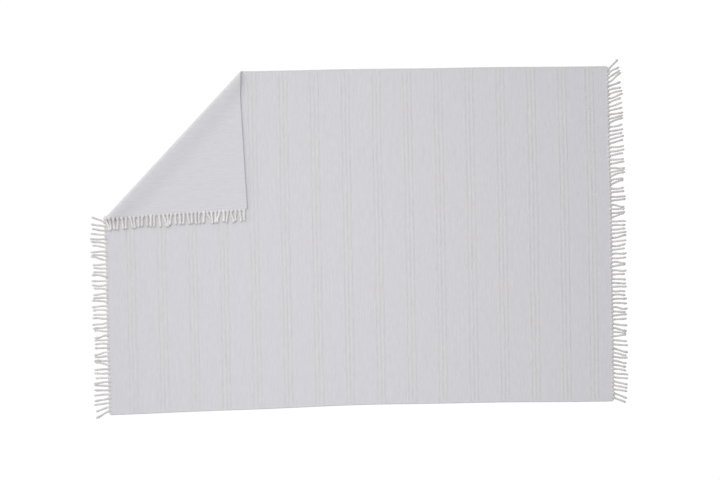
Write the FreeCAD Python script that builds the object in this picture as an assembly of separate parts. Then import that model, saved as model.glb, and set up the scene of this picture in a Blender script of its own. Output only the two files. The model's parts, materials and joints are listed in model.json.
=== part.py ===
"""Flat-woven cotton bath mat with raised cord ribs, knotted fringes and one folded-over corner.

The mat is laid out flat first: X runs along its length, Y along its width and Z up from the floor.
Near one corner the ground cloth bends up from the floor along a slanting line, meets the folded
corner at a hinge line along the outermost edge of the fold, and comes back over the field. The
cloth past the hinge line is the flap: it lies face down, and opens about the hinge line until it
is flat on the floor, where a low ridge is left along the crease.

Origin: the middle of the woven rectangle, on the floor. All lengths are in millimetres.
"""

import math
import os

import FreeCAD
import Part

Vector = FreeCAD.Vector

# Woven cloth
LENGTH = 900.0
WIDTH = 600.0
CLOTH_THICKNESS = 3.0

# Edge finishes: how wide they are, and how much thicker than the ground cloth
SELVEDGE_WIDTH = 3.5
BINDING_WIDTH = 4.5
EDGE_RISE = 0.4
EDGE_ROUND = 1.2

# Ribs: groups of thick weft cords bedded in channels in the face of the cloth
RIB_GROUPS = 16
RIB_LEFT_MARGIN = 43.5
RIB_RIGHT_MARGIN = 34.7
RIB_LAST_PITCH = 49.0
CORDS_PER_GROUP = 3
CORD_PITCH = 7.0
CORD_WIDTH = 5.0
CORD_PROUD = 0.6
CORD_BEDDED = 1.4
CORD_CLEARANCE = 0.05

# Fringe: knotted cords rooted in the end bindings
TASSEL_PITCH = 7.3
TASSEL_LENGTH = 26.0
TASSEL_RADIUS = 1.35
ROOT_RADIUS = 1.0
ROOT_DEPTH = 3.0
ROOT_CLEARANCE = 0.05
KNOT_LENGTH = 4.0
TUFT_LENGTH = 2.5
TUFT_RADIUS = 1.6

# Folded corner: how many rib groups it takes up, how far past the last of them the cloth leaves the
# floor along the back edge, and how far from the corner it does so along the left edge
FLAP_RIB_GROUPS = 4
CREASE_PAST_RIB = 43.0
CREASE_ALONG_WIDTH = 263.9
FOLD_BULGE = 3.0
FOLD_PUFF = 3.45
LAY_CLEARANCE = 0.35
HINGE_CLEARANCE = 0.3
FOLD_MARGIN = 0.6

# Edges: the tassels root at mid-height, and their knots are as thick as the binding
EDGE_THICKNESS = CLOTH_THICKNESS + EDGE_RISE
KNOT_RADIUS = EDGE_THICKNESS / 2
BED_LENGTH = LENGTH - 2 * BINDING_WIDTH
BED_WIDTH = WIDTH - 2 * SELVEDGE_WIDTH
RIB_PITCH = (LENGTH - RIB_LEFT_MARGIN - RIB_RIGHT_MARGIN - RIB_LAST_PITCH) / (RIB_GROUPS - 2)

# The crease in the flat layout: the line where the cloth leaves the floor, at its mid-height
CREASE_ALONG_LENGTH = RIB_LEFT_MARGIN + (FLAP_RIB_GROUPS - 1) * RIB_PITCH + CREASE_PAST_RIB
MID_HEIGHT = CLOTH_THICKNESS / 2
CORNER = Vector(-LENGTH / 2, WIDTH / 2, 0)
CREASE_START = CORNER + Vector(CREASE_ALONG_LENGTH, 0, MID_HEIGHT)
CREASE_END = CORNER + Vector(0, -CREASE_ALONG_WIDTH, MID_HEIGHT)
CREASE_DIRECTION = (CREASE_START - CREASE_END).normalize()
TO_CORNER = Vector(0, 0, 1).cross(CREASE_DIRECTION)
CORNER_DISTANCE = (CORNER - CREASE_START).dot(TO_CORNER)

# The flap slopes down from the fold until its corner's ribs just clear the ribs below them
REST_GAP = CLOTH_THICKNESS + 2 * max(CORD_PROUD, EDGE_RISE) + LAY_CLEARANCE
FOLD_HEIGHT = REST_GAP + FOLD_PUFF
FLAP_REACH = CORNER_DISTANCE + TASSEL_LENGTH * abs(TO_CORNER.x)
FLAP_TILT = math.degrees(math.atan2(FOLD_PUFF, FLAP_REACH))

# The fold: a lip of the field slopes up to the hinge line, and a lip of the flap slopes back
BEND_ANGLE = math.degrees(math.atan2(FOLD_HEIGHT / 2, FOLD_BULGE))
LIP_LENGTH = math.hypot(FOLD_HEIGHT / 2, FOLD_BULGE)
OPENING_ANGLE = 180.0 + FLAP_TILT
TURNS = (BEND_ANGLE, OPENING_ANGLE - 2 * BEND_ANGLE, BEND_ANGLE)
FIELD, FIELD_LIP, FLAP_LIP, FLAP = range(4)

# A round knuckle on the flap's lip turns in a round seat, which clears the lips at both limits
KNUCKLE_RADIUS = CLOTH_THICKNESS / 2
SEAT_RADIUS = KNUCKLE_RADIUS / math.cos(math.radians(BEND_ANGLE)) + HINGE_CLEARANCE
BEND_SHADOW = (MID_HEIGHT + CORD_PROUD) * math.tan(math.radians(BEND_ANGLE / 2)) + FOLD_MARGIN
FIELD_CLEAR = -BEND_SHADOW
FLAP_CLEAR = 2 * LIP_LENGTH + BEND_SHADOW
FAR = 2 * (LENGTH + WIDTH)


def turn_line(index):
    """A point on the line that the cloth turns about after piece `index`, in the flat layout."""
    return CREASE_START + TO_CORNER * (index * LIP_LENGTH)


def distance_past_crease(point):
    """How far a point of the flat layout lies past the crease, towards the corner."""
    return (point - CREASE_START).dot(TO_CORNER)


def half_space(start, towards_corner):
    """A huge block on one side of the line `start` past the crease."""
    block = Part.makeBox(FAR, FAR, FAR)
    placement = FreeCAD.Placement()
    placement.Rotation = FreeCAD.Rotation(CREASE_DIRECTION, TO_CORNER, Vector(0, 0, 1), "XYZ")
    shift = 0.0 if towards_corner else -FAR
    local = Vector(-FAR / 2, shift, -FAR / 2)
    placement.Base = CREASE_START + TO_CORNER * start + placement.Rotation.multVec(local)
    block.Placement = placement
    return block


def turn_bar(index, radius):
    """A round bar along turn line `index`, longer than the fold."""
    base = turn_line(index) - CREASE_DIRECTION * (FAR / 2)
    return Part.makeCylinder(radius, FAR, base, CREASE_DIRECTION)


def folded(shape, piece):
    """Turns a shape of the flat layout about every line between the field and `piece`."""
    turned = shape.copy()
    for index in reversed(range(piece)):
        turned.rotate(turn_line(index), CREASE_DIRECTION, TURNS[index])
    return turned


def field_side():
    """The part of the flat layout where ribs and edge finishes belong to the field."""
    return half_space(FIELD_CLEAR, False)


def flap_side():
    """The part of the flat layout where ribs and edge finishes belong to the flap."""
    return half_space(FLAP_CLEAR, True)


def lens_bar(x, proud, bedded, half_width):
    """A bar along the width whose section is a lens, widest at the face of the cloth."""
    left = Vector(x - half_width, 0, CLOTH_THICKNESS)
    right = Vector(x + half_width, 0, CLOTH_THICKNESS)
    crest = Vector(x, 0, CLOTH_THICKNESS + proud)
    keel = Vector(x, 0, CLOTH_THICKNESS - bedded)
    section = Part.Wire([
        Part.Arc(left, crest, right).toShape(),
        Part.Arc(right, keel, left).toShape(),
    ])
    section.translate(Vector(0, -BED_WIDTH / 2, 0))
    return Part.Face(section).extrude(Vector(0, BED_WIDTH, 0))


def rib_group_centres():
    """X of the middle cord of each rib group; the last group stands closer than the others."""
    first = RIB_LEFT_MARGIN - LENGTH / 2
    centres = [first + i * RIB_PITCH for i in range(RIB_GROUPS - 1)]
    return centres + [centres[-1] + RIB_LAST_PITCH]


def cord_places(centre):
    """X of each cord of a rib group."""
    middle = (CORDS_PER_GROUP - 1) / 2
    return [centre + (i - middle) * CORD_PITCH for i in range(CORDS_PER_GROUP)]


def rib_cord(x):
    """One thick weft cord, from selvedge to selvedge."""
    return lens_bar(x, CORD_PROUD, CORD_BEDDED, CORD_WIDTH / 2)


def rib_channel(x):
    """The channel that a cord beds in, wider and deeper by its clearance."""
    return lens_bar(x, CORD_PROUD, CORD_BEDDED + CORD_CLEARANCE, CORD_WIDTH / 2 + CORD_CLEARANCE)


def all_channels():
    """Every rib channel of the mat."""
    return [rib_channel(x) for centre in rib_group_centres() for x in cord_places(centre)]


def ground_panel():
    """The ground cloth between the edge finishes, before its rib channels are cut."""
    near_corner = Vector(-BED_LENGTH / 2, -BED_WIDTH / 2, 0)
    return Part.makeBox(BED_LENGTH, BED_WIDTH, CLOTH_THICKNESS, near_corner)


def whole_panel():
    """The full woven rectangle, which the lips are cut from with no edge finish."""
    return Part.makeBox(LENGTH, WIDTH, CLOTH_THICKNESS, Vector(-LENGTH / 2, -WIDTH / 2, 0))


def lip(piece):
    """One of the two lips of the fold, in the flat layout."""
    after = half_space((piece - 1) * LIP_LENGTH, True)
    before = half_space(piece * LIP_LENGTH, False)
    return whole_panel().common(after).common(before)


def turn_round(index):
    """The round bar of cloth that fills a turn, in the flat layout."""
    return turn_bar(index, KNUCKLE_RADIUS).common(whole_panel())


def ground_field():
    """The field's ground cloth and its lip, which ends in the seat for the flap's knuckle."""
    flat = ground_panel().common(half_space(0.0, False)).cut(all_channels())
    seated = lip(FIELD_LIP).cut(turn_bar(1, SEAT_RADIUS))
    return flat.fuse([turn_round(0), folded(seated, FIELD_LIP)])


def ground_flap():
    """The flap's ground cloth and its lip, which starts at the knuckle on the hinge line."""
    flat = ground_panel().common(half_space(2 * LIP_LENGTH, True)).cut(all_channels())
    knuckle = folded(turn_round(1), FLAP_LIP)
    return folded(flat, FLAP).fuse([folded(turn_round(2), FLAP), folded(lip(FLAP_LIP), FLAP_LIP), knuckle])


def rounded_bar(length, breadth, height, outer_faces):
    """A bar along X with the long edges of its outer side rounded.

    `outer_faces` is +1 if the outer side faces +Y and -1 if it faces -Y; Y 0 is the inner side.
    """
    bar = Part.makeBox(length, breadth, height, Vector(-length / 2, 0, 0))
    rounds = [
        edge
        for edge in bar.Edges
        if abs(edge.CenterOfMass.y - breadth) < 1e-6 and abs(edge.CenterOfMass.x) < 1e-6
    ]
    bar = bar.makeFillet(EDGE_ROUND, rounds)
    return bar if outer_faces > 0 else bar.mirror(Vector(0, 0, 0), Vector(0, 1, 0))


def selvedge(side):
    """The wrapped edge cord along one long edge; `side` is +1 for +Y and -1 for -Y."""
    bar = rounded_bar(LENGTH, SELVEDGE_WIDTH, EDGE_THICKNESS, side)
    bar.translate(Vector(0, side * BED_WIDTH / 2, 0))
    return bar


def tassel_places():
    """Y of each tassel of a short end, evenly spaced along its binding."""
    count = round(BED_WIDTH / TASSEL_PITCH)
    spacing = BED_WIDTH / count
    return [(i + 0.5) * spacing - BED_WIDTH / 2 for i in range(count)]


def before_fold(y):
    """True if a left-hand tassel at `y` can root in the field's end binding."""
    outer = Vector(-LENGTH / 2, y, 0)
    return distance_past_crease(outer) < FIELD_CLEAR - TASSEL_RADIUS


def after_fold(y):
    """True if a left-hand tassel at `y` can root in the flap's end binding."""
    inner = Vector(ROOT_DEPTH - LENGTH / 2, y, 0)
    return distance_past_crease(inner) > FLAP_CLEAR + TASSEL_RADIUS


def root_hole(side, y):
    """The socket of one tassel in its end binding."""
    depth = ROOT_DEPTH + ROOT_CLEARANCE
    base = Vector(side * (LENGTH / 2 - depth), y, KNOT_RADIUS)
    return Part.makeCylinder(ROOT_RADIUS + ROOT_CLEARANCE, depth, base, Vector(side, 0, 0))


def end_binding(side, places):
    """The twined binding along one short end, between the selvedges, with its root sockets."""
    bar = rounded_bar(BED_WIDTH, BINDING_WIDTH, EDGE_THICKNESS, 1)
    bar.rotate(Vector(0, 0, 0), Vector(0, 0, 1), -90 * side)
    bar.translate(Vector(side * BED_LENGTH / 2, 0, 0))
    return bar.cut([root_hole(side, y) for y in places])


def tassel(side, y):
    """One tassel: a root stub, a cord, a tip knot and a short tuft, turned about its own axis."""
    knot_start = TASSEL_LENGTH - TUFT_LENGTH - KNOT_LENGTH
    knot_end = knot_start + KNOT_LENGTH
    outline = [
        Vector(-ROOT_DEPTH, 0, 0),
        Vector(-ROOT_DEPTH, ROOT_RADIUS, 0),
        Vector(0, ROOT_RADIUS, 0),
        Vector(0, TASSEL_RADIUS, 0),
        Vector(knot_start, TASSEL_RADIUS, 0),
    ]
    knot_crest = Vector((knot_start + knot_end) / 2, KNOT_RADIUS, 0)
    knot_foot = Vector(knot_end, TASSEL_RADIUS * 0.8, 0)
    after = [knot_foot, Vector(TASSEL_LENGTH, TUFT_RADIUS, 0), Vector(TASSEL_LENGTH, 0, 0), outline[0]]
    edges = [Part.makeLine(a, b) for a, b in zip(outline, outline[1:])]
    edges.append(Part.Arc(outline[-1], knot_crest, knot_foot).toShape())
    edges += [Part.makeLine(a, b) for a, b in zip(after, after[1:])]
    body = Part.Face(Part.Wire(edges)).revolve(Vector(0, 0, 0), Vector(1, 0, 0), 360)
    if side < 0:
        body.rotate(Vector(0, 0, 0), Vector(0, 0, 1), 180)
    body.translate(Vector(side * LENGTH / 2, y, KNOT_RADIUS))
    return body


def write(name, shapes):
    """Writes one node: every solid of the given shapes, as separate solids."""
    solids = [solid for shape in shapes for solid in shape.Solids]
    if not solids:
        raise ValueError(f"{name} has no solid")
    for solid in solids:
        if not solid.isValid() or solid.Volume <= 0:
            raise ValueError(f"{name} has a bad solid")
    Part.makeCompound(solids).exportStep(os.path.join("parts", f"{name}.step"))
    print(f"{name}: {len(solids)} solids, {sum(s.Volume for s in solids):.0f} mm3")


def write_ground():
    """The ground cloth in its two hinged pieces."""
    write("ground_cloth_field", [ground_field()])
    write("ground_cloth_flap", [ground_flap()])


def write_ribs():
    """Each rib group of the field, and the ends of those that run on into the flap."""
    on_field = field_side()
    on_flap = flap_side()
    for number, centre in enumerate(rib_group_centres(), start=1):
        cords = [rib_cord(x) for x in cord_places(centre)]
        write(f"rib_group_{number:02d}", [cord.common(on_field) for cord in cords])
        past = [cord.common(on_flap) for cord in cords]
        if any(piece.Solids for piece in past):
            write(f"flap_rib_group_{number:02d}", [folded(piece, FLAP) for piece in past])


def write_selvedges():
    """The two selvedge cords; the back one is in two lengths, before and after the fold."""
    back = selvedge(1)
    write("selvedge_front", [selvedge(-1)])
    write("selvedge_back", [back.common(field_side())])
    write("selvedge_flap", [folded(back.common(flap_side()), FLAP)])


def write_ends():
    """The end bindings and the tassels rooted in them, on the field and on the flap."""
    right = tassel_places()
    left = [y for y in tassel_places() if before_fold(y)]
    turned = [y for y in tassel_places() if after_fold(y)]
    write("end_binding_right", [end_binding(1, right)])
    write("end_binding_left", [end_binding(-1, left).common(field_side())])
    write("end_binding_flap", [folded(end_binding(-1, turned).common(flap_side()), FLAP)])
    write("fringe_right", [tassel(1, y) for y in right])
    write("fringe_left", [tassel(-1, y) for y in left])
    write("fringe_flap", [folded(tassel(-1, y), FLAP) for y in turned])


def print_hinge():
    """Prints the hinge line as it lies with the corner folded, and how far the flap opens."""
    place = folded(Part.Vertex(turn_line(1)), FIELD_LIP).Point
    print(f"hinge at {place.x:.4f} {place.y:.4f} {place.z:.4f}")
    print(f"hinge axis {-CREASE_DIRECTION.x:.6f} {-CREASE_DIRECTION.y:.6f} 0")
    print(f"hinge opens {OPENING_ANGLE:.4f} degrees")


def main():
    """Writes every node of the mat."""
    os.makedirs("parts", exist_ok=True)
    print_hinge()
    write_ground()
    write_ribs()
    write_selvedges()
    write_ends()


main()
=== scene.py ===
"""Flat-woven cotton bath mat with raised cord ribs, knotted fringes and a folded-over corner.

The cloth is worked out flat, as it came off the loom: X along the mat, Y across it. One function
lays any point of that flat cloth where it lies now, on the floor, round the fold or on the flap.
Ribs, edge cords and tassels all follow it, so they stay on the cloth wherever it goes.
"""

import json
import logging
import math
from dataclasses import dataclass, field
from enum import Enum

import bpy
import numpy as np
from mathutils import Matrix, Vector


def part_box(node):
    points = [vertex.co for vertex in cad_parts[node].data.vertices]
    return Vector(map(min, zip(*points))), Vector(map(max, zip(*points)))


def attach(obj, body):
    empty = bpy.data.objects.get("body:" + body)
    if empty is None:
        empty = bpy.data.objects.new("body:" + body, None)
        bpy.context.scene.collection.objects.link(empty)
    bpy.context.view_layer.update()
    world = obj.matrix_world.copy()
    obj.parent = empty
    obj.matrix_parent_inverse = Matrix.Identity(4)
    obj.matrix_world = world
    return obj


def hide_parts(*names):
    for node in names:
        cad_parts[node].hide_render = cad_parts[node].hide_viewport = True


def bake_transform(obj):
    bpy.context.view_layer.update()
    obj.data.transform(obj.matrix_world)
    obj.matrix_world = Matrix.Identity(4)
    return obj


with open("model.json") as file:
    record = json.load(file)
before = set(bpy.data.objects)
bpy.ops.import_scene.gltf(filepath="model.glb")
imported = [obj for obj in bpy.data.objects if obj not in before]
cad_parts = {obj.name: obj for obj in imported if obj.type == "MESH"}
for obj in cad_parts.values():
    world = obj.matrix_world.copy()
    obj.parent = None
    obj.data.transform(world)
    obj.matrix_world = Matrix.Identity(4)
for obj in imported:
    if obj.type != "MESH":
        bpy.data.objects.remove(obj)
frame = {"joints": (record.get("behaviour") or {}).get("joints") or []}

MM = 0.001
UV_NAME = "yarn"
TONE_AND_LIGHT_NAME = "tone_and_painted_light"
LOG = logging.getLogger("bath_mat")


class Body(Enum):
    """The rigid bodies that pieces ride on."""

    MAT = "mat"
    FLAP = "corner_flap"


class Slot(Enum):
    """The record's material slots."""

    GROUND = "ground_cotton"
    RIB = "rib_cotton"
    SELVEDGE = "selvedge_cotton"
    BINDING = "binding_cotton"
    FRINGE = "fringe_cotton"


def smoothstep(t: np.ndarray) -> np.ndarray:
    """Eases from 0 to 1 as t goes from 0 to 1, and stays level outside.

    Args:
        t: any numbers.

    Returns:
        3 t squared minus 2 t cubed, with t held between 0 and 1.
    """
    t = np.clip(t, 0.0, 1.0)
    return t * t * (3.0 - 2.0 * t)


def wander(along: np.ndarray, rng: np.random.Generator, longest: float, terms: int = 5) -> np.ndarray:
    """A smooth random line: a sum of sines whose wavelengths halve from the longest.

    Args:
        along: distance along the line, in metres.
        rng: the seeded source of phases.
        longest: the longest wavelength, in metres.
        terms: how many sines are summed.

    Returns:
        The line's height at each distance, mostly between -1 and 1.
    """
    total = np.zeros_like(along, dtype=float)
    for k in range(terms):
        share = 0.65**k
        phase = rng.uniform(0.0, 2.0 * math.pi)
        total += share * np.sin(2.0 * math.pi * along * (1.73**k) / longest + phase)
    return total / sum(0.65**k for k in range(terms)) * 1.5


@dataclass
class Draft:
    """Points, faces and their yarn coordinates, gathered until they are made into one mesh."""

    points: list[np.ndarray] = field(default_factory=list)
    tones_and_painted_light: list[np.ndarray] = field(default_factory=list)
    quads: list[np.ndarray] = field(default_factory=list)
    quad_uvs: list[np.ndarray] = field(default_factory=list)
    caps: list[list[int]] = field(default_factory=list)
    count: int = 0

    def add_points(self, points: np.ndarray, tone_and_painted_light: float = 0.5) -> int:
        """Adds points and returns the index of the first.

        Args:
            points: an array whose last axis is x, y, z.
            tone_and_painted_light: how light the yarn is, from 0 to 1, painted light included.

        Returns:
            The index that the first point gets.
        """
        flat = points.reshape(-1, 3)
        start = self.count
        self.points.append(flat)
        self.tones_and_painted_light.append(np.full(len(flat), tone_and_painted_light))
        self.count += len(flat)
        return start

    def add_quads(self, corners: np.ndarray, uvs: np.ndarray) -> None:
        """Adds four-sided faces.

        Args:
            corners: one row of four point indices per face.
            uvs: the four corners' yarn coordinates, shaped (faces, 4, 2).
        """
        self.quads.append(corners.reshape(-1, 4))
        self.quad_uvs.append(uvs.reshape(-1, 4, 2))

    def add_tube(
        self,
        rings: np.ndarray,
        v: np.ndarray,
        tone_and_painted_light: float = 0.5,
        u: np.ndarray | None = None,
    ) -> None:
        """tone: how light the yarn is, from 0 to 1, painted light included.
            u: each point's place across the cloth, or None for its share of the way round.
        """
        n, m, _ = rings.shape
        start = self.add_points(rings, tone_and_painted_light)
        i, k = np.meshgrid(np.arange(n - 1), np.arange(m), indexing="ij")
        after = (k + 1) % m
        corners = np.stack([i * m + k, i * m + after, (i + 1) * m + after, (i + 1) * m + k], -1)
        if u is None:
            across = np.stack([k / m, (k + 1) / m, (k + 1) / m, k / m], -1)
        else:
            across = u.reshape(-1)[corners]
        along = np.stack([v[i], v[i], v[i + 1], v[i + 1]], -1)
        self.add_quads(corners + start, np.stack([across, along], -1))
        self.caps.append([start + j for j in reversed(range(m))])
        self.caps.append([start + (n - 1) * m + j for j in range(m)])

    def build(self, name: str) -> bpy.types.Object:
        """Makes the mesh object, smooth-shaded up to its ends, with yarn coordinates and a lightness
        per point, which carries painted light on the flap's tassels.

        Args:
            name: the piece's name.

        Returns:
            The new object, at the origin.
        """
        quads = np.concatenate(self.quads)
        mesh = bpy.data.meshes.new(name)
        mesh.from_pydata(np.concatenate(self.points).tolist(), [], quads.tolist() + self.caps)
        quad_uv = np.concatenate(self.quad_uvs).reshape(-1, 2)
        rest = np.zeros((len(mesh.loops) - len(quad_uv), 2))
        layer = mesh.uv_layers.new(name=UV_NAME)
        layer.data.foreach_set("uv", np.concatenate([quad_uv, rest]).astype(np.float32).ravel())
        tones_and_painted_light = mesh.attributes.new(TONE_AND_LIGHT_NAME, "FLOAT", "POINT")
        tones_and_painted_light.data.foreach_set("value", np.concatenate(self.tones_and_painted_light).astype(np.float32))
        mesh.update()
        mesh.shade_smooth()
        mesh.set_sharp_from_angle(angle=math.radians(80.0))
        piece = bpy.data.objects.new(name, mesh)
        bpy.context.scene.collection.objects.link(piece)
        return piece


@dataclass(frozen=True)
class Crease:
    """Where the corner folds, as its hinge says: a point on the hinge line and two directions."""

    hinge: np.ndarray
    along: np.ndarray
    outward: np.ndarray

    @classmethod
    def from_joint(cls, joint: dict) -> "Crease":
        """Reads the crease from the hinge that opens the corner.

        Args:
            joint: the hinge's entry in the frame.

        Returns:
            The crease, with `outward` a quarter turn left of `along`, towards the corner.
        """
        along = -np.array(joint["axis"][:2], float)
        along /= np.linalg.norm(along)
        return cls(np.array(joint["pos_m"], float), along, np.array([-along[1], along[0]]))


@dataclass
class Cloth:
    """The mat's cloth: where each point of it lies, with the corner folded."""

    crease: Crease
    half_length: float
    half_width: float
    thickness: float = 3.0 * MM
    inside: float = 4.5 * MM
    fold_take_up: float = 10.0 * MM
    steepest: float = 0.165
    slope_length: float = 40.0 * MM
    rest_gap: float = 0.75 * MM
    flare: float = 12.0 * MM
    draw_in: float = 1.2 * MM
    corner_draw: float = 4.0 * MM
    rack: float = 0.0025
    ripple: float = 0.08 * MM
    step: float = 0.05 * MM

    def __post_init__(self) -> None:
        """Works out the fold's profile: a half round, then a slope down to the flap's height.

        The path's angle grows evenly from 0 to half a turn over the round, then goes past half
        a turn by half a sine wave that peaks early, and by a slight tilt that stays. Adding up
        its steps gives the path.
        """
        rise = 2.0 * (self.crease.hinge[2] - self.thickness / 2)
        self.round_length = math.pi * rise / 2
        reach = self.round_length + 2.0 * self.half_width
        self.profile_s = np.arange(0.0, reach, self.step)
        past = np.clip((self.profile_s - self.round_length) / self.slope_length, 0.0, 1.0)
        turned = np.minimum(self.profile_s / self.round_length, 1.0) * math.pi
        self.profile_angle = turned + self.steepest * np.sin(math.pi * past**0.85)
        forward = np.cos(self.profile_angle) * self.step
        upward = np.sin(self.profile_angle) * self.step
        self.profile_v = np.cumsum(forward) - forward[0] - self.inside
        self.profile_z = np.cumsum(upward) - upward[0]

    @property
    def half(self) -> float:
        """Half the cloth's thickness."""
        return self.thickness / 2

    def past_crease(self, x: np.ndarray, y: np.ndarray) -> np.ndarray:
        """How far flat points lie past the line where the cloth leaves the floor.

        Args:
            x: places along the mat.
            y: places across the mat.

        Returns:
            Distances in metres, positive towards the corner.
        """
        hinge, outward = self.crease.hinge, self.crease.outward
        return (x - hinge[0]) * outward[0] + (y - hinge[1]) * outward[1] + self.inside

    def x_at(self, y: np.ndarray, past: float) -> np.ndarray:
        """Where a line parallel to the crease crosses each y.

        Args:
            y: places across the mat.
            past: the line's distance past the crease.

        Returns:
            The x of each crossing.
        """
        hinge, outward = self.crease.hinge, self.crease.outward
        return hinge[0] + (past - self.inside - (y - hinge[1]) * outward[1]) / outward[0]

    def y_at(self, x: np.ndarray, past: float) -> np.ndarray:
        """Where a line parallel to the crease crosses each x.

        Args:
            x: places along the mat.
            past: the line's distance past the crease.

        Returns:
            The y of each crossing.
        """
        hinge, outward = self.crease.hinge, self.crease.outward
        return hinge[1] + (past - self.inside - (x - hinge[0]) * outward[0]) / outward[1]

    def pulled(self, x: np.ndarray, y: np.ndarray) -> tuple[np.ndarray, np.ndarray]:
        """The loom's rectangle as it has been pulled out of true by use.

        Both long edges draw in a little, the back one more where it is folded over, and the
        whole is racked by a fraction of a degree. The front edge flares out towards the left end,
        in proportion to a ramp that starts near the middle, and all edges waver by under 1 mm.

        Args:
            x: places along the mat.
            y: places across the mat.

        Returns:
            The new x and y.
        """
        ramp = 0.5 * (np.sqrt(x * x + (90.0 * MM) ** 2) - x) / self.half_length
        front = np.maximum(0.5 - 0.5 * y / self.half_width, 0.0)
        wave_y = 0.5 * MM * np.sin(x * 7.3 + 0.6) + 0.3 * MM * np.sin(x * 23.0 + 2.0)
        wave_x = 0.6 * MM * np.sin(y * 11.0 + 1.0) + 0.3 * MM * np.sin(y * 29.0)
        drawn = y * (1.0 - self.draw_in / self.half_width)
        near_back = smoothstep(1.0 - (self.half_width - y) / (160.0 * MM))
        drawn -= self.corner_draw * near_back * smoothstep(self.past_crease(x, y) / (45.0 * MM))
        swollen = x + wave_x * x / self.half_length
        return (swollen - self.rack * y,
                drawn + wave_y - self.rack * x - self.flare * ramp * front**1.5)

    def mirrored(self, direction: np.ndarray) -> np.ndarray:
        """A direction on the flat mat as it points once the corner is folded over.

        Args:
            direction: x, y, z on the flat mat.

        Returns:
            The direction mirrored in the crease.
        """
        along = np.array([self.crease.along[0], self.crease.along[1], 0.0])
        return 2.0 * float(direction @ along) * along - direction

    def lift(self, x: np.ndarray, y: np.ndarray) -> np.ndarray:
        """How far the cloth ripples up from the floor: two crossed waves, never below zero.

        Args:
            x: places along the mat.
            y: places across the mat.

        Returns:
            Heights in metres.
        """
        long_wave = 1.0 + np.sin(x * 17.0 + y * 5.0 + 0.4)
        cross_wave = 1.0 + np.sin(y * 21.0 - x * 6.0 + 1.9)
        return self.ripple * (0.5 * long_wave + 0.5 * cross_wave)

    def settled(self, x: np.ndarray, y: np.ndarray, past: np.ndarray, z: np.ndarray) -> np.ndarray:
        """How far the flap's free edges sink onto the cloth under them.

        Args:
            x: places along the flat mat.
            y: places across the flat mat.
            past: distances past the crease.
            z: heights of the middle layer before it settles, from that of the cloth below.

        Returns:
            The drop: all the room there is at the very edge, fading away within centimetres.
        """
        inland = np.minimum(x + self.half_length, self.half_width - y)
        room = np.maximum(z - self.thickness - self.rest_gap, 0.0)
        onset = smoothstep((past - self.fold_take_up) / (30.0 * MM))
        return room * onset * np.exp(-np.maximum(inland, 0.0) / (14.0 * MM))

    def place(self, x: np.ndarray, y: np.ndarray, height: np.ndarray) -> np.ndarray:
        """Where points of the flat cloth lie now.

        Args:
            x: places along the flat mat.
            y: places across the flat mat.
            height: heights above the cloth's middle layer, towards its face.

        Returns:
            Points in metres, with x, y, z on the last axis.
        """
        x, y, height = np.broadcast_arrays(np.asarray(x, float), np.asarray(y, float), height)
        lift = self.lift(x, y)
        px, py = self.pulled(x, y)
        hinge, along, outward = self.crease.hinge, self.crease.along, self.crease.outward
        across = (px - hinge[0]) * along[0] + (py - hinge[1]) * along[1]
        past = self.past_crease(px, py)
        squeezed = past * self.round_length / self.fold_take_up
        beyond = past - self.fold_take_up + self.round_length
        s = np.where(past < self.fold_take_up, squeezed, beyond)
        v = np.where(past < 0.0, past - self.inside, np.interp(s, self.profile_s, self.profile_v))
        z = np.where(past < 0.0, 0.0, np.interp(s, self.profile_s, self.profile_z))
        angle = np.where(past < 0.0, 0.0, np.interp(s, self.profile_s, self.profile_angle))
        v = v - height * np.sin(angle)
        z = z - self.settled(x, y, past, z) + height * np.cos(angle) + self.half + lift
        return np.stack([
            hinge[0] + v * outward[0] + across * along[0],
            hinge[1] + v * outward[1] + across * along[1],
            z,
        ], -1)


@dataclass(frozen=True)
class Region:
    """A named stretch of the cloth, and how its pieces are carried."""

    name: str
    start: float
    end: float
    body: Body | None


def carry(piece: bpy.types.Object, region: Region) -> None:
    """Lets a piece ride on its region's body, or bakes its transform where it has no body.

    Args:
        piece: the finished piece.
        region: where on the cloth it lies.
    """
    if region.body is not None:
        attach(piece, region.body.value)
        return
    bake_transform(piece)


FIELD = Region("field", -1.0, -8.0 * MM, Body.MAT)
FOLD = Region("fold", -8.0 * MM, 18.0 * MM, None)
FLAP = Region("flap", 18.0 * MM, 1.0, Body.FLAP)
REGIONS = (FIELD, FOLD, FLAP)


# Finishes


def linear_colour(code: str) -> tuple[float, float, float, float]:
    """Turns an sRGB hex colour to linear red, green, blue and alpha.

    Args:
        code: six hex digits after a hash.

    Returns:
        The linear colour, opaque.
    """
    parts = [int(code[i:i + 2], 16) / 255 for i in (1, 3, 5)]
    linear = [p / 12.92 if p <= 0.04045 else ((p + 0.055) / 1.055) ** 2.4 for p in parts]
    return (*linear, 1.0)


def add_node(
    tree: bpy.types.NodeTree,
    kind: str,
    settings: dict | None = None,
    inputs: dict | None = None,
) -> bpy.types.Node:
    """Adds a node, sets it up and links it.

    Args:
        tree: the node tree.
        kind: the node's type.
        settings: the node's own properties.
        inputs: a value or another node's output for each input, by name or number.

    Returns:
        The new node.
    """
    node = tree.nodes.new(kind)
    for name, value in (settings or {}).items():
        setattr(node, name, value)
    for key, value in (inputs or {}).items():
        if isinstance(value, bpy.types.NodeSocket):
            tree.links.new(value, node.inputs[key])
        else:
            node.inputs[key].default_value = value
    return node


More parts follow.
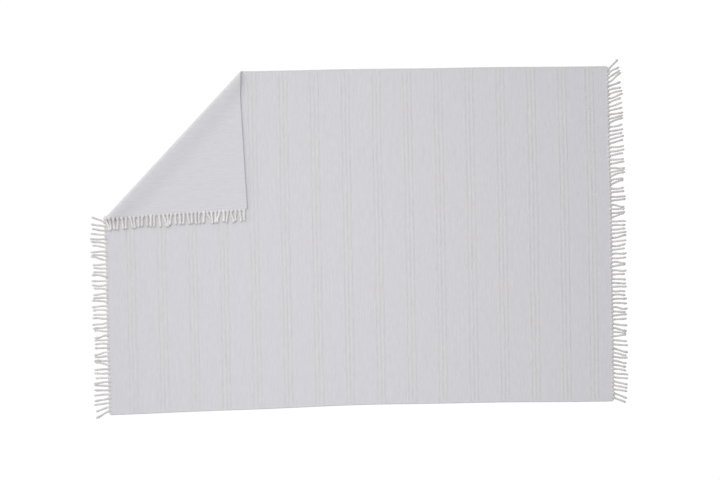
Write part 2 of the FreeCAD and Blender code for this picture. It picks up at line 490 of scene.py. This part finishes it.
@dataclass(frozen=True)
class WovenCotton:
    """Plain-woven cotton: bleached weft beaten up over natural warp, soft and quite matt.

    The weft runs across the mat and swells into slubs, which show as faint streaks; the warp
    dips between them, which gives the fine grain. The colour is darker where the relief is low,
    painted shade in the weave's dips. Thread spacings are real ones in millimetres.
    """

    name: str = "plain woven cotton"
    light: str = "#e0e0e3"
    dark: str = "#d8d7da"
    weft_mm: float = 1.7
    warp_mm: float = 2.4
    relief_mm: float = 0.13
    roughness: float = 0.92
    sheen: float = 0.25

    def material(self) -> bpy.types.Material:
        """Makes the material, which reads the flat cloth's own coordinates.

        Returns:
            The new material.
        """
        material = bpy.data.materials.new(self.name)
        material.use_nodes = True
        tree = material.node_tree
        tree.nodes.clear()
        flat = add_node(tree, "ShaderNodeUVMap", {"uv_map": UV_NAME})
        parts = add_node(tree, "ShaderNodeSeparateXYZ", inputs={0: flat.outputs[0]})
        to_mm = 1.0 / MM
        streak_at = add_node(tree, "ShaderNodeVectorMath", {"operation": "MULTIPLY"}, {
            0: flat.outputs[0], 1: (to_mm / 2.2, to_mm / 60.0, 0.0)})
        streaks = add_node(tree, "ShaderNodeTexNoise", {"noise_dimensions": "2D"}, {
            "Vector": streak_at.outputs[0], "Scale": 1.0, "Detail": 3.0, "Roughness": 0.6})
        slub_at = add_node(tree, "ShaderNodeVectorMath", {"operation": "MULTIPLY"}, {
            0: flat.outputs[0], 1: (to_mm / 3.4, to_mm / 16.0, 0.0)})
        slubs = add_node(tree, "ShaderNodeTexNoise", {"noise_dimensions": "2D"}, {
            "Vector": slub_at.outputs[0], "Scale": 1.0, "Detail": 2.0, "Roughness": 0.5})
        weft = add_node(tree, "ShaderNodeMath", {"operation": "MULTIPLY"}, {
            0: parts.outputs[0], 1: 2.0 * math.pi * to_mm / self.weft_mm})
        warp = add_node(tree, "ShaderNodeMath", {"operation": "MULTIPLY"}, {
            0: parts.outputs[1], 1: 2.0 * math.pi * to_mm / self.warp_mm})
        weft_wave = add_node(tree, "ShaderNodeMath", {"operation": "SINE"}, {0: weft.outputs[0]})
        warp_wave = add_node(tree, "ShaderNodeMath", {"operation": "SINE"}, {0: warp.outputs[0]})
        grain = add_node(tree, "ShaderNodeMath", {"operation": "MULTIPLY"}, {
            0: weft_wave.outputs[0], 1: warp_wave.outputs[0]})
        mixed = add_node(tree, "ShaderNodeMath", {"operation": "ADD"}, {
            0: streaks.outputs[0], 1: slubs.outputs[0]})
        relief = add_node(tree, "ShaderNodeMath", {"operation": "MULTIPLY_ADD"}, {
            0: grain.outputs[0], 1: 0.30, 2: mixed.outputs[0]})
        # Colour follows the relief: darker where it is low, painted shade in the weave's dips, beside
        # the yarn's own streaks and slubs.
        shade = add_node(tree, "ShaderNodeMapRange", {}, {
            "Value": relief.outputs[0], "From Min": 0.55, "From Max": 1.45})
        colour = add_node(tree, "ShaderNodeMix", {"data_type": "RGBA"}, {
            "Factor": shade.outputs[0], 6: linear_colour(self.dark), 7: linear_colour(self.light)})
        bump = add_node(tree, "ShaderNodeBump", {}, {
            "Strength": 0.5, "Distance": self.relief_mm * MM, "Height": relief.outputs[0]})
        shader = add_node(tree, "ShaderNodeBsdfPrincipled", {}, {
            "Base Color": colour.outputs[2], "Roughness": self.roughness,
            "Specular IOR Level": 0.25, "Sheen Weight": self.sheen, "Sheen Roughness": 0.5,
            "Normal": bump.outputs[0]})
        add_node(tree, "ShaderNodeOutputMaterial", {}, {"Surface": shader.outputs[0]})
        return material


@dataclass(frozen=True)
class SpunYarn:
    """Spun and plied cotton yarn: fibres wind round it, and its colour wavers along its length."""

    name: str
    light: str
    dark: str
    ply_mm: float = 3.0
    relief_mm: float = 0.2
    roughness: float = 0.9
    sheen: float = 0.3

    def material(self) -> bpy.types.Material:
        """Makes the material, which reads the yarn's own coordinates and its lightness per point.

        Returns:
            The new material.
        """
        material = bpy.data.materials.new(self.name)
        material.use_nodes = True
        tree = material.node_tree
        tree.nodes.clear()
        yarn = add_node(tree, "ShaderNodeUVMap", {"uv_map": UV_NAME})
        parts = add_node(tree, "ShaderNodeSeparateXYZ", inputs={0: yarn.outputs[0]})
        tone_and_painted_light = add_node(tree, "ShaderNodeAttribute", {"attribute_name": TONE_AND_LIGHT_NAME})
        along = add_node(tree, "ShaderNodeMath", {"operation": "MULTIPLY"}, {
            0: parts.outputs[1], 1: 1.0 / (self.ply_mm * MM)})
        turned = add_node(tree, "ShaderNodeMath", {"operation": "ADD"}, {
            0: along.outputs[0], 1: parts.outputs[0]})
        angle = add_node(tree, "ShaderNodeMath", {"operation": "MULTIPLY"}, {
            0: turned.outputs[0], 1: 4.0 * math.pi})
        plies = add_node(tree, "ShaderNodeMath", {"operation": "SINE"}, {0: angle.outputs[0]})
        place = add_node(tree, "ShaderNodeTexCoord")
        fibres = add_node(tree, "ShaderNodeTexNoise", {}, {
            "Vector": place.outputs["Object"], "Scale": 900.0, "Detail": 2.0})
        blotches = add_node(tree, "ShaderNodeTexNoise", {}, {
            "Vector": place.outputs["Object"], "Scale": 140.0, "Detail": 2.0})
        relief = add_node(tree, "ShaderNodeMath", {"operation": "MULTIPLY_ADD"}, {
            0: plies.outputs[0], 1: 0.25, 2: fibres.outputs[0]})
        # The lightness per point is the yarn's own random variation plus painted light on the flap's
        # tassels; the blotches vary the yarn's own colour.
        shade = add_node(tree, "ShaderNodeMath", {"operation": "ADD"}, {
            0: tone_and_painted_light.outputs["Fac"], 1: blotches.outputs[0]})
        level = add_node(tree, "ShaderNodeMapRange", {}, {
            "Value": shade.outputs[0], "From Min": 0.3, "From Max": 1.7})
        colour = add_node(tree, "ShaderNodeMix", {"data_type": "RGBA"}, {
            "Factor": level.outputs[0], 6: linear_colour(self.dark), 7: linear_colour(self.light)})
        bump = add_node(tree, "ShaderNodeBump", {}, {
            "Strength": 0.5, "Distance": self.relief_mm * MM, "Height": relief.outputs[0]})
        shader = add_node(tree, "ShaderNodeBsdfPrincipled", {}, {
            "Base Color": colour.outputs[2], "Roughness": self.roughness,
            "Specular IOR Level": 0.25, "Sheen Weight": self.sheen, "Sheen Roughness": 0.5,
            "Normal": bump.outputs[0]})
        add_node(tree, "ShaderNodeOutputMaterial", {}, {"Surface": shader.outputs[0]})
        return material


def dress(piece: bpy.types.Object, material: bpy.types.Material) -> None:
    """Gives a piece its material.

    Args:
        piece: the piece.
        material: its finish.
    """
    piece.data.materials.append(material)


# Sub-assemblies


@dataclass
class GroundCloth:
    """The plain-woven sheet, in three skins: on the floor, round the fold and on the flap."""

    cloth: Cloth
    material: bpy.types.Material
    inset_x: float = 1.6 * MM
    inset_y: float = 1.4 * MM
    columns: int = 220
    rows: int = 150
    fold_columns: int = 44
    fold_rows: int = 130

    def build(self) -> list[bpy.types.Object]:
        """Makes the three skins.

        Returns:
            The field, fold and flap pieces.
        """
        field_piece = self.skin(FIELD, *self.field_grid())
        fold_piece = self.skin(FOLD, *self.fold_grid())
        flap_piece = self.skin(FLAP, *self.flap_grid())
        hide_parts("ground_cloth_field")
        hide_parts("ground_cloth_flap")
        return [field_piece, fold_piece, flap_piece]

    def edges(self) -> tuple[float, float]:
        """Half the length and half the width that the plain weave fills."""
        return self.cloth.half_length - self.inset_x, self.cloth.half_width - self.inset_y

    def field_grid(self) -> tuple[np.ndarray, np.ndarray, tuple[float, float], float]:
        """The flat points of the part on the floor: rows across the mat, cut off at the fold.

        Returns:
            x and y of each grid point, the cut's flat size and its flat area.
        """
        right, back = self.edges()
        kink = float(self.cloth.y_at(np.array(-right), FIELD.end))
        below = max(2, round(self.rows * (kink + back) / (2 * back)))
        y_line = np.concatenate([
            np.linspace(-back, kink, below), np.linspace(kink, back, self.rows - below + 1)[1:]])
        left_line = np.maximum(-right, self.cloth.x_at(y_line, FIELD.end))
        t = np.linspace(0.0, 1.0, self.columns)[None, :]
        x = left_line[:, None] * (1.0 - t) + right * t
        y = np.broadcast_to(y_line[:, None], x.shape)
        corner = (back - kink) * (float(left_line[-1]) + right) / 2
        return x, y, (2.0 * right, 2.0 * back), 4.0 * right * back - corner

    def fold_grid(self) -> tuple[np.ndarray, np.ndarray, tuple[float, float], float]:
        """The flat points of the strip round the fold: lines along the crease, edge to edge.

        Returns:
            x and y of each grid point, the cut's flat size and its flat area.
        """
        right, back = self.edges()
        past = np.linspace(FOLD.start, FOLD.end, self.fold_columns)
        low_y = np.array([float(self.cloth.y_at(np.array(-right), p)) for p in past])
        top_x = np.array([float(self.cloth.x_at(np.array(back), p)) for p in past])
        t = np.linspace(0.0, 1.0, self.fold_rows)[:, None]
        x = -right * (1.0 - t) + top_x[None, :] * t
        y = low_y[None, :] * (1.0 - t) + back * t
        spans = np.hypot(top_x + right, back - low_y)
        strip = FOLD.end - FOLD.start
        return x[:, ::-1], y[:, ::-1], (float(spans.max()), strip), float(spans.mean()) * strip

    def flap_grid(self) -> tuple[np.ndarray, np.ndarray, tuple[float, float], float]:
        """The flat points of the folded corner: rows across the mat, up to the fold.

        Returns:
            x and y of each grid point, the cut's flat size and its flat area.
        """
        right, back = self.edges()
        low = float(self.cloth.y_at(np.array(-right), FLAP.start))
        y_line = np.linspace(low + 0.4 * MM, back, self.rows // 2 + 20)
        crease_line = self.cloth.x_at(y_line, FLAP.start)
        t = np.linspace(0.0, 1.0, self.columns // 2)[None, :]
        x = -right * (1.0 - t) + crease_line[:, None] * t
        y = np.broadcast_to(y_line[:, None], x.shape)
        size = (float(crease_line[-1]) + right, back - low)
        return x, y, size, size[0] * size[1] / 2

    def skin(
        self,
        region: Region,
        x: np.ndarray,
        y: np.ndarray,
        size: tuple[float, float],
        area: float,
    ) -> bpy.types.Object:
        """A closed skin: the grid on the face, the same grid on the back, and walls round it.

        Args:
            region: which stretch of the cloth it is.
            x: the grid's places along the mat.
            y: the grid's places across the mat.
            size: the cut's flat size, in metres; not used.
            area: the cut's flat area, in square metres; not used.

        Returns:
            The finished piece.
        """
        rows, columns = x.shape
        draft = Draft()
        face = draft.add_points(self.cloth.place(x, y, self.cloth.half))
        back = draft.add_points(self.cloth.place(x, y, -self.cloth.half))
        index = np.arange(rows * columns).reshape(rows, columns)
        corners = np.stack([index[:-1, :-1], index[:-1, 1:], index[1:, 1:], index[1:, :-1]], -1)
        uv = np.stack([x, y], -1)
        uvs = np.stack([uv[:-1, :-1], uv[:-1, 1:], uv[1:, 1:], uv[1:, :-1]], -2)
        draft.add_quads(corners + face, uvs)
        draft.add_quads(corners[..., ::-1] + back, uvs[..., ::-1, :])
        rim = np.concatenate([index[0, :-1], index[:-1, -1], index[-1, :0:-1], index[:0:-1, 0]])
        rim_uv = uv.reshape(-1, 2)[rim]
        after, after_uv = np.roll(rim, -1), np.roll(rim_uv, -1, 0)
        draft.add_quads(
            np.stack([rim + back, after + back, after + face, rim + face], -1),
            np.stack([rim_uv, after_uv, after_uv, rim_uv], 1))
        piece = draft.build(f"woven_{region.name}")
        dress(piece, self.material)
        carry(piece, region)
        return piece


@dataclass
class RibCords:
    """The raised weft cords, in groups of three across the mat."""

    cloth: Cloth
    material: bpy.types.Material
    groups: int = 16
    per_group: int = 3
    pitch: float = 7.0 * MM
    width: float = 5.0 * MM
    proud: float = 0.16 * MM
    sunk: float = 0.5 * MM
    step: float = 2.4 * MM
    margin: float = 3.4 * MM

    def build(self) -> list[bpy.types.Object]:
        """Makes one piece for each group in each region that it crosses.

        Returns:
            The pieces.
        """
        pieces = []
        for number in range(1, self.groups + 1):
            low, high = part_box(f"rib_group_{number:02d}")
            for region in REGIONS:
                piece = self.group(number, (low.x + high.x) / 2, region)
                if piece is not None:
                    pieces.append(piece)
        return pieces

    def group(self, number: int, centre: float, region: Region) -> bpy.types.Object | None:
        """The cords of one group that lie in one region.

        Args:
            number: the group's number from the left.
            centre: x of its middle cord.
            region: the stretch of cloth.

        Returns:
            The piece, or None if the group doesn't reach that region.
        """
        draft = Draft()
        for k in range(self.per_group):
            x = centre + (k - (self.per_group - 1) / 2) * self.pitch
            ends = self.span(x, region)
            if ends is not None:
                self.cord(draft, x, ends, 10 * number + k)
        if not draft.count:
            return None
        piece = draft.build(f"rib_cords_{region.name}_{number:02d}")
        dress(piece, self.material)
        carry(piece, region)
        if region is FIELD:
            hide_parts(f"rib_group_{number:02d}")
        if region is FLAP:
            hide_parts(f"flap_rib_group_{number:02d}")
        return piece

    def span(self, x: float, region: Region) -> tuple[float, float] | None:
        """Where a cord at x starts and ends within a region, or None if it doesn't cross it."""
        edge = self.cloth.half_width - self.margin
        start = max(-edge, float(self.cloth.y_at(np.array(x), max(region.start, -0.9))))
        end = min(edge, float(self.cloth.y_at(np.array(x), min(region.end, 0.9))))
        return (start, end) if end - start > self.step else None

    def cord(self, draft: Draft, x: float, ends: tuple[float, float], seed: int) -> None:
        """One cord: a low arch over the cloth, closed under its face, that thickens and thins.

        Args:
            draft: where it is gathered.
            x: its place along the mat.
            ends: its first and last y.
            seed: fixes its own unevenness.
        """
        rng = np.random.default_rng(seed)
        steps = max(3, math.ceil((ends[1] - ends[0]) / self.step))
        y = np.linspace(*ends, steps)[:, None]
        swell = 1.0 + 0.16 * wander(y, rng, 0.11)
        drift = 0.25 * MM * wander(y, rng, 0.23)
        turn = np.linspace(0.0, math.pi, 6)[None, :]
        over_x = np.cos(turn) * self.width / 2 * (0.94 + 0.06 * swell)
        over_h = self.cloth.half - 0.1 * MM + (self.proud + 0.1 * MM) * np.sin(turn) * swell
        under_x = np.array([[-0.4, 0.4]]) * self.width * np.ones_like(y)
        under_h = np.full_like(under_x, self.cloth.half - self.sunk)
        ring_x = np.concatenate([over_x, under_x], 1) + x + drift
        ring_h = np.concatenate([over_h, under_h], 1)
        rings = self.cloth.place(ring_x, np.broadcast_to(y, ring_x.shape), ring_h)
        draft.add_tube(rings[:, ::-1], y[:, 0], u=ring_x[:, ::-1])


@dataclass
class EdgeCords:
    """The selvedge cords along the long edges and the twined bindings along the short ones."""

    cloth: Cloth
    material: bpy.types.Material
    selvedge_width: float = 3.8 * MM
    binding_width: float = 4.8 * MM
    height: float = 3.2 * MM
    twist: float = 6.0 * MM
    sides: int = 10
    selvedge_lobes: float = 0.5
    binding_lobes: float = 1.2
    step: float = 1.0 * MM

    def build(self) -> list[bpy.types.Object]:
        """Makes every length of edge cord.

        Returns:
            The pieces.
        """
        cloth = self.cloth
        x_edge = cloth.half_length - self.binding_width / 2 + 0.1 * MM
        y_edge = cloth.half_width - self.selvedge_width / 2
        pieces = [
            self.length(Slot.SELVEDGE, -y_edge, (-x_edge, x_edge), FIELD,
                        "selvedge_cord_front", ("selvedge_front",)),
            self.length(Slot.BINDING, x_edge, (-y_edge, y_edge), FIELD,
                        "binding_right", ("end_binding_right",)),
        ]
        back = {FIELD: ("selvedge_back",), FOLD: (), FLAP: ("selvedge_flap",)}
        left = {FIELD: ("end_binding_left",), FOLD: (), FLAP: ("end_binding_flap",)}
        for region in REGIONS:
            near = float(cloth.x_at(np.array(y_edge), max(region.start, -0.9)))
            far = float(cloth.x_at(np.array(y_edge), min(region.end, 0.9)))
            pieces.append(self.length(
                Slot.SELVEDGE, y_edge, (max(-x_edge, far), min(x_edge, near)), region,
                f"selvedge_cord_back_{region.name}", back[region]))
            low = float(cloth.y_at(np.array(-x_edge), max(region.start, -0.9)))
            high = float(cloth.y_at(np.array(-x_edge), min(region.end, 0.9)))
            pieces.append(self.length(
                Slot.BINDING, -x_edge, (max(-y_edge, low), min(y_edge, high)), region,
                f"binding_left_{region.name}", left[region]))
        return pieces

    def steps(self, ends: tuple[float, float]) -> np.ndarray:
        """Even steps from the first end to the last, as a column.

        Args:
            ends: where the length of cord starts and ends.

        Returns:
            Distances, shaped (steps, 1).
        """
        return np.linspace(*ends, max(3, math.ceil((ends[1] - ends[0]) / self.step)))[:, None]

    def length(
        self, slot: Slot, at: float, ends: tuple[float, float], region: Region, name: str, nodes: tuple,
    ) -> bpy.types.Object:
        """One length of edge cord: a selvedge cord runs along X, an end binding along Y.

        Args:
            slot: the record's slot, which says which of the two it is.
            at: its place across its run.
            ends: where its run starts and ends.
            region: the stretch of cloth it belongs to.
            name: the piece's name.
            nodes: the solids it stands for.

        Returns:
            The piece.
        """
        steps = max(3, math.ceil((ends[1] - ends[0]) / self.step))
        s = np.linspace(*ends, steps)[:, None]
        if slot is Slot.SELVEDGE:
            across, height = self.section(s, self.selvedge_width, self.selvedge_lobes)
            rings = self.cloth.place(s + 0 * across, at - across, height)
        else:
            across, height = self.section(s, self.binding_width, self.binding_lobes)
            rings = self.cloth.place(at + across, s + 0 * across, height)
        draft = Draft()
        draft.add_tube(rings, s[:, 0])
        piece = draft.build(name)
        dress(piece, self.material)
        carry(piece, region)
        if nodes:
            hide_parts(*nodes)
        return piece

    def section(
        self, s: np.ndarray, width: float, lobes: float,
    ) -> tuple[np.ndarray, np.ndarray]:
        """The oval section at each step, with two plies that wind round it.

        The radius is 1 plus a small cosine of twice the angle round, less twice the turns so far.

        Args:
            s: distance along the cord, as a column.
            width: the oval's width.
            lobes: how strongly the plies stand out.

        Returns:
            Sideways offset and height above the cloth's middle layer, one row per step.
        """
        turn = 2.0 * math.pi * np.arange(self.sides)[None, :] / self.sides
        wound = 2.0 * math.pi * s / self.twist
        radius = 1.0 + 0.045 * lobes * np.cos(2.0 * turn - 2.0 * wound)
        across = -np.cos(turn) * radius * width / 2
        height = np.sin(turn) * np.minimum(radius, 1.0) * self.height / 2
        centre = self.height / 2 - self.cloth.half
        return across, height + centre


@dataclass(frozen=True)
class Sweep:
    """How a row of tassels leans towards the back, as a slope: all of it, and at its two ends."""

    even: float
    rise: float
    first: float
    last: float
    reach: float = 16.0 * MM

    def at(self, along: np.ndarray) -> np.ndarray:
        """The lean of each tassel of a row.

        Args:
            along: each root's place along the row, rising.

        Returns:
            An even lean, plus a steady rise along the row, plus a sharp one at either end.
        """
        middle, half = (along[0] + along[-1]) / 2, (along[-1] - along[0]) / 2
        steady = self.even + self.rise * (along - middle) / half
        near_first = self.first * np.exp((along[0] - along) / self.reach)
        near_last = self.last * np.exp((along - along[-1]) / self.reach)
        return steady + near_first + near_last


@dataclass
class Fringe:
    """The tassels of both short ends: two-ply cords, spread at the root and knotted at the tip.

    They lean together along the end and bunch in twos and threes where their tips lie together.
    """

    cloth: Cloth
    material: bpy.types.Material
    count: int = 81
    # The right row's yarn is set a little darker than the left's.
    right_tone: float = 0.4
    left_tone: float = 0.5
    # The flap's tassels lie in shade: their yarn is set lighter, painted light that makes up for it,
    # and their cord is fuller and shorter.
    flap_painted_light_tone: float = 1.0
    flap_shortening: float = 0.84
    flap_fullness: float = 1.2
    bed_margin: float = 3.5 * MM
    length: float = 26.0 * MM
    radius: float = 2.15 * MM
    flatness: float = 0.7
    root: float = 5.5 * MM
    spread: float = 0.9
    rings: int = 19
    sides: int = 8
    right_sweep: Sweep = Sweep(0.07, 0.27, -0.25, 0.6)
    left_sweep: Sweep = Sweep(0.0, 0.02, -0.5, 0.4)
    flap_sweep: Sweep = Sweep(0.0, 0.0, 0.1, 0.0)

    def build(self) -> list[bpy.types.Object]:
        """Makes the right, left and flap fringes.

        Returns:
            The pieces.
        """
        bed = self.cloth.half_width - self.bed_margin
        pitch = 2.0 * bed / self.count
        roots = (np.arange(self.count) + 0.5) * pitch - bed
        past = self.cloth.past_crease(np.full_like(roots, -self.cloth.half_length), roots)
        on_flap = past > self.cloth.fold_take_up / 2
        rows = (
            ("tassels_right", "fringe_right", Body.MAT, 1.0, roots,
             self.right_sweep, self.right_tone, 11),
            ("tassels_left", "fringe_left", Body.MAT, -1.0, roots[~on_flap],
             self.left_sweep, self.left_tone, 12),
            ("tassels_flap", "fringe_flap", Body.FLAP, -1.0, roots[on_flap],
             self.flap_sweep, self.flap_painted_light_tone, 13),
        )
        pieces = []
        for name, node, body, side, row, sweep, tone_and_painted_light, seed in rows:
            draft = Draft()
            rng = np.random.default_rng(seed)
            shifts = self.bunched(row, pitch, rng) - row
            for y, lean, shift in zip(row, sweep.at(row), shifts):
                self.tassel(draft, side, y, lean, shift, tone_and_painted_light, rng, body is Body.FLAP)
            piece = draft.build(name)
            dress(piece, self.material)
            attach(piece, body.value)
            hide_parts(node)
            pieces.append(piece)
        return pieces

    def bunched(self, roots: np.ndarray, pitch: float, rng: np.random.Generator) -> np.ndarray:
        """Draws neighbouring tips together, in bunches of one to four.

        Args:
            roots: the tassels' places along the row.
            pitch: their spacing.
            rng: the row's source of unevenness.

        Returns:
            Where the tips lie along the row, before they lean.
        """
        tips = roots.copy()
        k = 0
        while k < len(tips):
            size = int(rng.choice((1, 2, 3, 4), p=(0.40, 0.33, 0.19, 0.08)))
            bunch = tips[k:k + size]
            pull = rng.uniform(0.2, 1.0)
            closeness = 1.0 - pull * (1.0 - 2.0 * self.radius / pitch)
            bunch[:] = bunch.mean() + (bunch - bunch.mean()) * closeness
            bunch += rng.normal(0.0, 0.7) * MM
            k += size
        return tips

    def tassel(
        self,
        draft: Draft,
        side: float,
        y: float,
        lean: float,
        shift: float,
        tone_and_painted_light: float,
        rng: np.random.Generator,
        on_flap: bool,
    ) -> None:
        """One tassel: it leaves the edge along the cloth, then wavers and sinks to what it lies on.

        Args:
            draft: where it is gathered.
            side: +1 at the right end, -1 at the left.
            y: its root's place along the end.
            lean: the slope it leans at.
            shift: how far its tip is drawn along the row.
            tone_and_painted_light: how light its yarn is, with painted light added on the flap's row.
            rng: the row's source of unevenness.
            on_flap: true if it hangs from the folded corner.
        """
        cloth = self.cloth
        forward = np.array([side, 0.0, 0.0])
        sideways = np.array([0.0, 1.0, 0.0])
        if on_flap:
            forward, sideways = cloth.mirrored(forward), cloth.mirrored(sideways)
        start = cloth.place(np.array(side * cloth.half_length), np.array(y), np.array(0.0))
        slope = lean + rng.normal(0.0, 0.05)
        long = self.length * rng.uniform(0.9, 1.06) * (self.flap_shortening if on_flap else 1.0)
        inner = np.array([-1.0, -0.6, -0.2, 0.0]) * self.root
        s = np.concatenate([inner, (0.8 * MM, 1.8 * MM), np.linspace(3.2 * MM, long, self.rings - 6)])
        t = np.clip(s / long, 0.0, 1.0)
        out = s / math.hypot(1.0, slope)
        wave = rng.normal(0.0, 0.5) * MM * np.sin(math.pi * t * rng.uniform(1.0, 2.2))
        sway = slope * np.maximum(out, 0.0) + shift * smoothstep(t * 1.2) + wave
        path = start + out[:, None] * forward + sway[:, None] * sideways
        thick = self.radius * self.fullness(t, rng) * (self.flap_fullness if on_flap else 1.0)
        rest = thick * self.flatness
        if on_flap:
            inside = smoothstep((cloth.half_length - np.abs(path[:, 0])) / (5.0 * MM))
            rest += inside * (cloth.thickness + cloth.lift(path[:, 0], path[:, 1]) + 0.4 * MM)
        sink = smoothstep(t * 2.6)
        path[:, 2] = path[:, 2] * (1.0 - sink) + rest * sink
        if on_flap:
            thick *= np.interp(s / self.root, (-1.0, 0.0), (0.7, 1.0))
        else:
            path[:, 2] += np.interp(s / self.root, (-1.0, -0.6, -0.2, 0.5), (-0.6, 0.8, 0.8, 0.0)) * MM
        flare = 1.0 + self.spread * np.exp(-((s / (1.3 * MM)) ** 2))
        self.two_ply(draft, path, thick, flare, s, tone_and_painted_light, rng)

    def fullness(self, t: np.ndarray, rng: np.random.Generator) -> np.ndarray:
        """The tassel's thickness along it: a cord that wavers, a soft tip knot and a short tuft.

        Args:
            t: share of the length.
            rng: the row's source of unevenness.

        Returns:
            Thickness as a share of the cord's radius.
        """
        knot = rng.uniform(0.1, 0.3) * np.exp(-(((t - rng.uniform(0.8, 0.9)) / 0.07) ** 2))
        waver = 0.06 * np.sin(9.0 * t + rng.uniform(0.0, 6.0))
        end = np.where(t > 0.985, 0.6, 1.0)
        return (1.0 - 0.08 * t + knot + waver) * end

    def two_ply(
        self,
        draft: Draft,
        path: np.ndarray,
        thick: np.ndarray,
        flare: np.ndarray,
        s: np.ndarray,
        tone_and_painted_light: float,
        rng: np.random.Generator,
    ) -> None:
        """Sweeps a two-lobed section along a path, turning it as the plies are twisted.

        Args:
            draft: where it is gathered.
            path: the points of the middle line.
            thick: the radius at each point.
            flare: how much wider than high it is at each point.
            s: distance along the path.
            tone_and_painted_light: how light its yarn is, with painted light added on the flap's row.
            rng: the row's source of unevenness.
        """
        ahead = np.gradient(path, axis=0)
        ahead /= np.linalg.norm(ahead, axis=1)[:, None]
        side = np.cross(ahead, np.array([0.0, 0.0, 1.0]))
        side /= np.linalg.norm(side, axis=1)[:, None]
        up = np.cross(side, ahead)
        turn = 2.0 * math.pi * np.arange(self.sides)[None, :] / self.sides
        wound = s[:, None] / (9.0 * MM) * 2.0 * math.pi + rng.uniform(0.0, math.pi)
        radius = thick[:, None] * (0.88 + 0.16 * np.cos(2.0 * (turn - wound)))
        wide = radius * np.cos(turn) * flare[:, None]
        high = radius * np.sin(turn) * self.flatness
        rings = path[:, None, :] + wide[..., None] * side[:, None, :] + high[..., None] * up[:, None, :]
        draft.add_tube(rings[:, ::-1], s, tone_and_painted_light + rng.uniform(-0.25, 0.25))


# Studio


@dataclass
class Studio:
    """A glowing white floor, soft light from the upper left and a camera straight above."""

    floor_size: float = 8.0
    floor_colour: str = "#303030"
    floor_glow: float = 1.0
    view_width: float = 1.2832
    lens: float = 85.0
    sensor: float = 36.0
    roll_degrees: float = -0.95
    aim: tuple[float, float] = (0.0028, -0.0055)
    key_strength: float = 1.56
    sky_strength: float = 0.285
    strip_place: tuple[float, float, float] = (-0.17, 0.0, 1.2)
    strip_size: tuple[float, float] = (0.3, 1.6)
    strip_power: float = 5.6

    def build(self) -> None:
        """Makes the floor, the lights and the camera."""
        self.floor()
        self.lights()
        self.camera()
        scene = bpy.context.scene
        scene.view_settings.view_transform = "Standard"
        scene.view_settings.look = "None"

    def floor(self) -> None:
        """Lays the floor just under the mat."""
        half = self.floor_size / 2
        level = -0.3 * MM
        mesh = bpy.data.meshes.new("floor")
        mesh.from_pydata(
            [(-half, -half, level), (half, -half, level), (half, half, level), (-half, half, level)],
            [], [(0, 1, 2, 3)])
        piece = bpy.data.objects.new("floor", mesh)
        bpy.context.scene.collection.objects.link(piece)
        material = bpy.data.materials.new("white studio floor")
        material.use_nodes = True
        tree = material.node_tree
        tree.nodes.clear()
        shader = add_node(tree, "ShaderNodeBsdfPrincipled", {}, {
            "Base Color": linear_colour(self.floor_colour), "Roughness": 0.9,
            "Specular IOR Level": 0.0,
            "Emission Color": (1.0, 1.0, 1.0, 1.0), "Emission Strength": self.floor_glow})
        add_node(tree, "ShaderNodeOutputMaterial", {}, {"Surface": shader.outputs[0]})
        mesh.materials.append(material)

    def lights(self) -> None:
        """Sets a broad sun from the upper left, a strip softbox overhead and a white sky."""
        lamp = bpy.data.lights.new("key", "SUN")
        lamp.energy = self.key_strength
        lamp.angle = math.radians(86.0)
        lamp.color = linear_colour("#fdfdff")[:3]
        key = bpy.data.objects.new("key", lamp)
        towards = Vector((-1.0, 1.0, 1.35)).normalized()
        key.rotation_euler = towards.to_track_quat("Z", "Y").to_euler()
        bpy.context.scene.collection.objects.link(key)
        strip = bpy.data.lights.new("strip", "AREA")
        strip.shape = "RECTANGLE"
        strip.size, strip.size_y = self.strip_size
        strip.energy = self.strip_power
        softbox = bpy.data.objects.new("strip", strip)
        softbox.location = self.strip_place
        softbox.visible_camera = False
        bpy.context.scene.collection.objects.link(softbox)
        world = bpy.data.worlds.new("studio sky")
        world.use_nodes = True
        background = world.node_tree.nodes["Background"]
        background.inputs[0].default_value = linear_colour("#fbfbff")
        background.inputs[1].default_value = self.sky_strength
        bpy.context.scene.world = world

    def camera(self) -> None:
        """Hangs the camera straight over the mat, turned by its small roll."""
        lens = bpy.data.cameras.new("camera")
        lens.lens = self.lens
        lens.sensor_width = self.sensor
        lens.clip_end = 50.0
        camera = bpy.data.objects.new("camera", lens)
        height = self.view_width * self.lens / self.sensor
        camera.location = (self.aim[0], self.aim[1], height)
        camera.rotation_euler = (0.0, 0.0, math.radians(self.roll_degrees))
        bpy.context.scene.collection.objects.link(camera)
        bpy.context.scene.camera = camera


def main() -> None:
    """Builds the mat from the cloth out, then lights it."""
    logging.basicConfig(level=logging.INFO, format="%(name)s: %(message)s")
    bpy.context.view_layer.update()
    low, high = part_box("selvedge_front")
    _, back_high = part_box("selvedge_back")
    cloth = Cloth(Crease.from_joint(frame["joints"][0]), (high.x - low.x) / 2, back_high.y)
    bleached = WovenCotton().material()
    rib_yarn = WovenCotton("warp-bound rib cord", "#dfdedf", "#d5d3d4", 5.0, 2.4, 0.3).material()
    edge_yarn = SpunYarn("natural edge yarn", "#e0dfe1", "#d4d2d4", relief_mm=0.1).material()
    fringe_yarn = SpunYarn("natural fringe yarn", "#f0eeeb", "#c8c6c4", relief_mm=0.3).material()
    assemblies = (
        GroundCloth(cloth, bleached),
        RibCords(cloth, rib_yarn),
        EdgeCords(cloth, edge_yarn),
        Fringe(cloth, fringe_yarn),
    )
    for assembly in assemblies:
        for piece in assembly.build():
            LOG.info("%s: %d faces", piece.name, len(piece.data.polygons))
    Studio().build()


if __name__ == "__main__":
    main()
